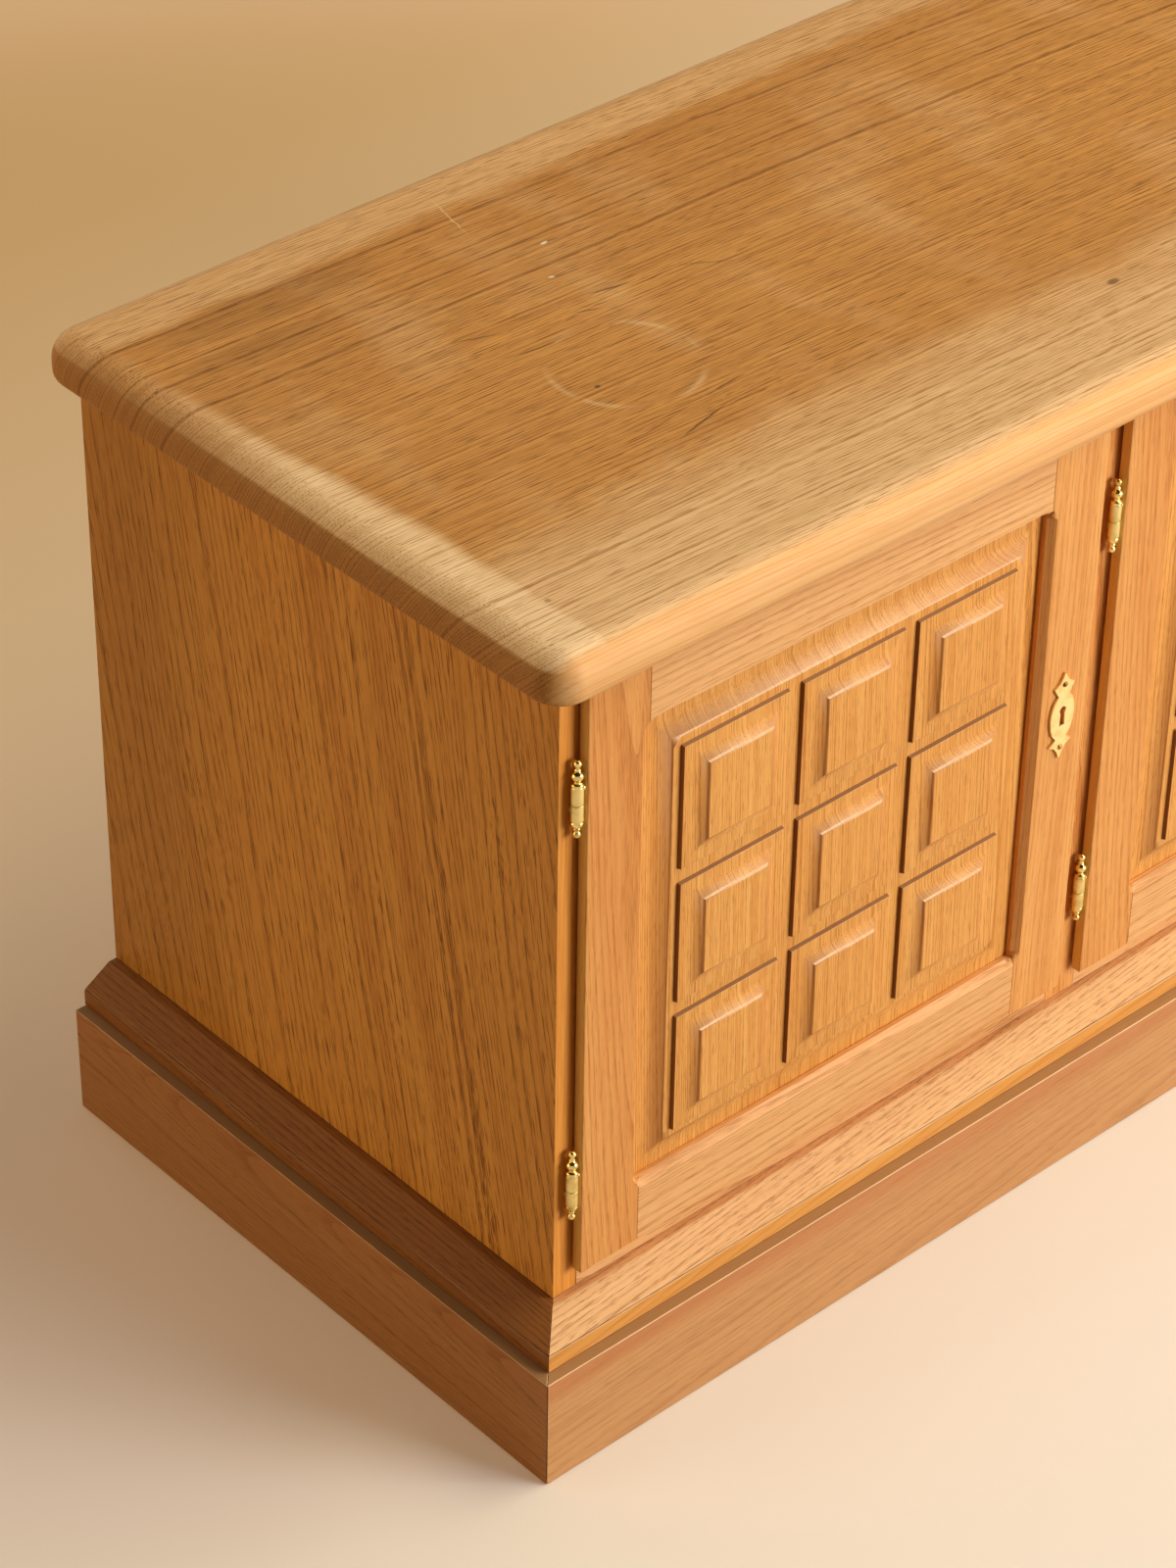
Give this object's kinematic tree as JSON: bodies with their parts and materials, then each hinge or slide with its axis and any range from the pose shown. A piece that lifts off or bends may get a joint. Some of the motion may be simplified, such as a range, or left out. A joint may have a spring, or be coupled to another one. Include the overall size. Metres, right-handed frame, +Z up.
{
  "type": "low sideboard",
  "caption": "Low oak sideboard on a moulded plinth, with framed doors, carved raised-field panels, turned brass hinges and pierced keyhole plates.",
  "frame": {"origin": "bottom centre of the whole sideboard's box, on the floor", "axes": "+X to the right as seen from the front, along the length; +Y to the back; +Z up. The doors face -Y."},
  "size_m": [1.5122, 0.5286, 0.64],
  "materials": {
    "oak_top": "waxed, worn, grain along the length",
    "oak_side": "waxed oak veneer, upright flame grain",
    "oak_post": "waxed, upright grain",
    "oak_rail": "waxed, level grain",
    "oak_panel": "waxed, carved, upright quarter-sawn grain",
    "oak_base": "waxed, grain along the length",
    "oak_base_end": "waxed, grain along the depth",
    "oak_inside": "unwaxed inside wood",
    "brass_hinge": "turned and polished",
    "brass_plate": "satin, aged",
    "steel_lock": "plain"
  },
  "bodies": {
    "carcass": {"top_board": "oak_top", "side_left": "oak_side", "side_right": "oak_side", "divider_left": "oak_post", "divider_right": "oak_post", "bottom_board": "oak_rail", "back_panel": "oak_inside", "shelf_1": "oak_inside", "shelf_2": "oak_inside", "shelf_3": "oak_inside", "base_moulding_front": "oak_base", "base_moulding_left": "oak_base_end", "base_moulding_right": "oak_base_end", "base_rail_back": "oak_base", "plinth_front": "oak_base", "plinth_left": "oak_base_end", "plinth_right": "oak_base_end", "plinth_back": "oak_base", "plinth_block_left": "oak_inside", "plinth_block_right": "oak_inside", "strike_plate_1": "brass_plate", "strike_plate_2": "brass_plate", "strike_plate_3": "brass_plate", "door_1_hinge_top_fixed_half": "brass_hinge", "door_1_hinge_low_fixed_half": "brass_hinge", "door_2_hinge_top_fixed_half": "brass_hinge", "door_2_hinge_low_fixed_half": "brass_hinge", "door_3_hinge_top_fixed_half": "brass_hinge", "door_3_hinge_low_fixed_half": "brass_hinge"},
    "door_1": {"door_1_hinge_stile": "oak_post", "door_1_lock_stile": "oak_post", "door_1_top_rail": "oak_rail", "door_1_bottom_rail": "oak_rail", "door_1_panel": "oak_panel", "door_1_escutcheon": "brass_plate", "door_1_lock_case": "steel_lock", "door_1_hinge_top_door_half": "brass_hinge", "door_1_hinge_low_door_half": "brass_hinge"},
    "bolt_1": {"door_1_lock_bolt": "steel_lock"},
    "door_2": {"door_2_hinge_stile": "oak_post", "door_2_lock_stile": "oak_post", "door_2_top_rail": "oak_rail", "door_2_bottom_rail": "oak_rail", "door_2_panel": "oak_panel", "door_2_escutcheon": "brass_plate", "door_2_lock_case": "steel_lock", "door_2_hinge_top_door_half": "brass_hinge", "door_2_hinge_low_door_half": "brass_hinge"},
    "bolt_2": {"door_2_lock_bolt": "steel_lock"},
    "door_3": {"door_3_hinge_stile": "oak_post", "door_3_lock_stile": "oak_post", "door_3_top_rail": "oak_rail", "door_3_bottom_rail": "oak_rail", "door_3_panel": "oak_panel", "door_3_escutcheon": "brass_plate", "door_3_lock_case": "steel_lock", "door_3_hinge_top_door_half": "brass_hinge", "door_3_hinge_low_door_half": "brass_hinge"},
    "bolt_3": {"door_3_lock_bolt": "steel_lock"}
  },
  "joints": [
    {"name": "door_1_hinge", "type": "hinge", "parent": "carcass", "child": "door_1", "pos_m": [-0.708, -0.2322, 0.37], "axis": [0, 0, -1], "range_deg": [0, 170]},
    {"name": "bolt_1_slide", "type": "slide", "parent": "door_1", "child": "bolt_1", "axis": [1, 0, 0], "range_m": [0, 0.007]},
    {"name": "door_2_hinge", "type": "hinge", "parent": "carcass", "child": "door_2", "pos_m": [-0.233, -0.2322, 0.37], "axis": [0, 0, -1], "range_deg": [0, 140]},
    {"name": "bolt_2_slide", "type": "slide", "parent": "door_2", "child": "bolt_2", "axis": [1, 0, 0], "range_m": [0, 0.007]},
    {"name": "door_3_hinge", "type": "hinge", "parent": "carcass", "child": "door_3", "pos_m": [0.708, -0.2322, 0.37], "axis": [0, 0, 1], "range_deg": [0, 170]},
    {"name": "bolt_3_slide", "type": "slide", "parent": "door_3", "child": "bolt_3", "axis": [-1, 0, 0], "range_m": [0, 0.007]}
  ]
}
